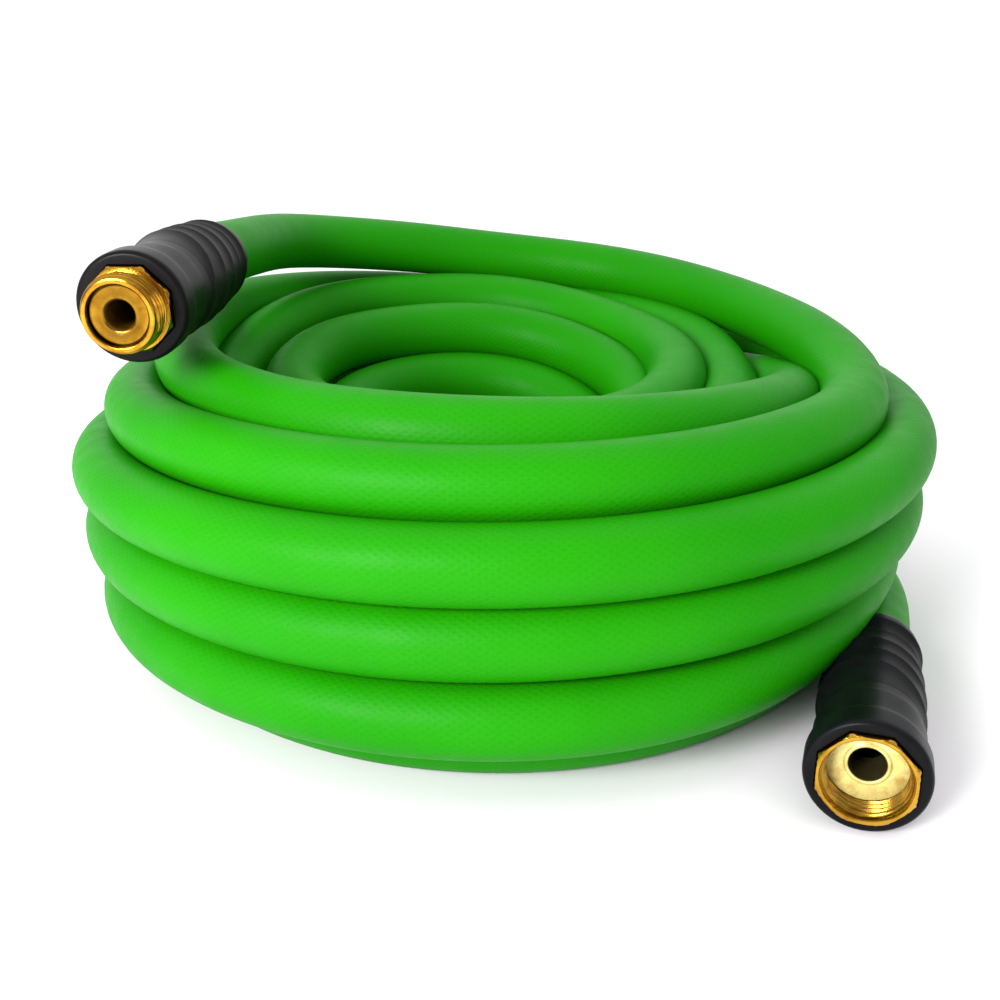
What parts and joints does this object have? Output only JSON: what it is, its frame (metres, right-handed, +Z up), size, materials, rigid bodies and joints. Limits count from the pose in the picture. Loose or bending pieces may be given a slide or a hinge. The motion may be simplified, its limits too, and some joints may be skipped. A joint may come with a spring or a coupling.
{
  "type": "garden hose",
  "caption": "Coiled garden hose with moulded grips, a male thread coupling at one end and a swivel nut coupling at the other.",
  "frame": {"origin": "centre of the footprint of the whole part, on the floor", "axes": "+Z up, the coil's own axis; +Y from the female end's side of the coil to the far side, the part's longest extent"},
  "size_m": [0.357, 0.3683, 0.1693],
  "materials": {
    "hose_coil": "satin green hose jacket",
    "hose_top": "satin green hose jacket",
    "hose_inner": "satin green hose jacket",
    "hose_lead": "satin green hose jacket",
    "male_grip": "satin black moulded grip",
    "male_coupling": "machined",
    "female_grip": "satin black moulded grip",
    "female_nut": "machined",
    "female_tailpiece": "machined"
  },
  "bodies": {
    "hose": {"hose_coil": "hose_coil", "hose_top": "hose_top", "hose_inner": "hose_inner", "hose_lead": "hose_lead", "male_grip": "male_grip", "male_coupling": "male_coupling", "female_tailpiece": "female_tailpiece"},
    "swivel": {"female_grip": "female_grip", "female_nut": "female_nut"}
  },
  "joints": [
    {"name": "swivel_turn", "type": "hinge", "parent": "hose", "child": "swivel", "pos_m": [0.11128, -0.17721, 0.0199], "axis": [-0.3269, -0.945, 0.0129], "continuous": true}
  ]
}
